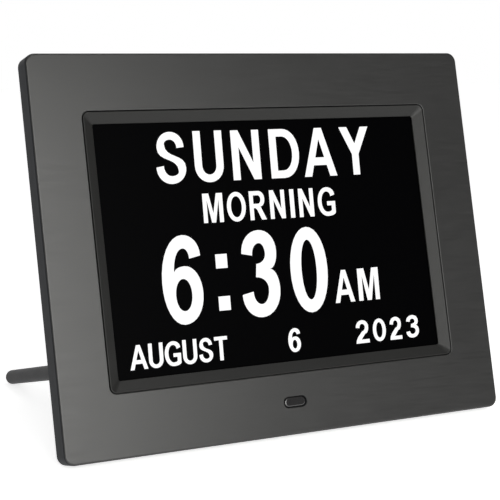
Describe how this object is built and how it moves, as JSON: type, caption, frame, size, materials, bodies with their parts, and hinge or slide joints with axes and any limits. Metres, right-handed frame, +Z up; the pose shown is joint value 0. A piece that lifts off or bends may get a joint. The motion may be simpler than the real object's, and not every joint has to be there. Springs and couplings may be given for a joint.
{
  "type": "day clock",
  "caption": "Desk clock that shows the day, part of day, time and date on a sunk screen, leaning on one screw-in rod.",
  "frame": {"origin": "middle of the footprint on the table, at table height", "axes": "+X to the right seen from the front, +Y to the back, +Z up"},
  "size_m": [0.21, 0.1608, 0.1626],
  "materials": {
    "frame_grey": "satin anthracite, fine brushed",
    "bezel_grey": "satin anthracite",
    "cover_black": "fine spark texture, black",
    "screen": "black display with bright white characters",
    "window": "smoked, glossy",
    "rod": "dark satin plated steel rod",
    "button": "soft satin",
    "steel": "bright zinc plated",
    "brass": "turned",
    "board": "green solder mask",
    "chip": "black moulded",
    "cream": "natural moulded",
    "foam": "black foam",
    "acrylic": "clear sheet",
    "flex": "amber film",
    "paper": "black paper cone",
    "magnet": "ferrite"
  },
  "bodies": {
    "clock": {"front_frame": "frame_grey", "screen_bezel": "bezel_grey", "ir_window": "window", "screen_gasket": "foam", "lcd_glass": "screen", "light_guide": "acrylic", "backlight_bar": "cream", "display_tray": "steel", "tray_brackets": "steel", "display_flex": "flex", "ir_board": "board", "ir_receiver": "chip", "ir_ribbon": "cream", "main_board": "board", "processor": "chip", "memory_chips": "chip", "board_parts": "steel", "board_sockets": "cream", "cell_holder": "chip", "coin_cell": "steel", "dc_jack": "chip", "jack_pin": "steel", "speaker_frame": "chip", "speaker_magnet": "magnet", "speaker_cone": "paper", "speaker_gasket": "foam", "speaker_lead": "chip", "key_board": "board", "key_switches": "steel", "key_ribbon": "cream", "rear_cover": "cover_black", "rod_insert": "brass", "case_screws": "steel", "small_screws": "steel"},
    "stand_rod": {"stand_rod": "rod"},
    "power_key": {"power_button": "button", "power_plunger": "cream"},
    "menu_key": {"menu_button": "button", "menu_plunger": "cream"},
    "up_key": {"up_button": "button", "up_plunger": "cream"},
    "down_key": {"down_button": "button", "down_plunger": "cream"},
    "ok_key": {"ok_button": "button", "ok_plunger": "cream"},
    "back_key": {"back_button": "button", "back_plunger": "cream"}
  },
  "joints": [
    {"name": "rod_unscrew", "type": "slide", "parent": "clock", "child": "stand_rod", "axis": [0, 0.9731, -0.2302], "range_m": [0, 0.012]},
    {"name": "power_press", "type": "slide", "parent": "clock", "child": "power_key", "axis": [0, -0.9731, 0.2302], "range_m": [0, 0.0005], "stiffness_N_per_m": 1500, "springref_m": -0.0002},
    {"name": "menu_press", "type": "slide", "parent": "clock", "child": "menu_key", "axis": [0, -0.9731, 0.2302], "range_m": [0, 0.0005], "stiffness_N_per_m": 1500, "springref_m": -0.0002},
    {"name": "up_press", "type": "slide", "parent": "clock", "child": "up_key", "axis": [0, -0.9731, 0.2302], "range_m": [0, 0.0005], "stiffness_N_per_m": 1500, "springref_m": -0.0002},
    {"name": "down_press", "type": "slide", "parent": "clock", "child": "down_key", "axis": [0, -0.9731, 0.2302], "range_m": [0, 0.0005], "stiffness_N_per_m": 1500, "springref_m": -0.0002},
    {"name": "ok_press", "type": "slide", "parent": "clock", "child": "ok_key", "axis": [0, -0.9731, 0.2302], "range_m": [0, 0.0005], "stiffness_N_per_m": 1500, "springref_m": -0.0002},
    {"name": "back_press", "type": "slide", "parent": "clock", "child": "back_key", "axis": [0, -0.9731, 0.2302], "range_m": [0, 0.0005], "stiffness_N_per_m": 1500, "springref_m": -0.0002}
  ]
}
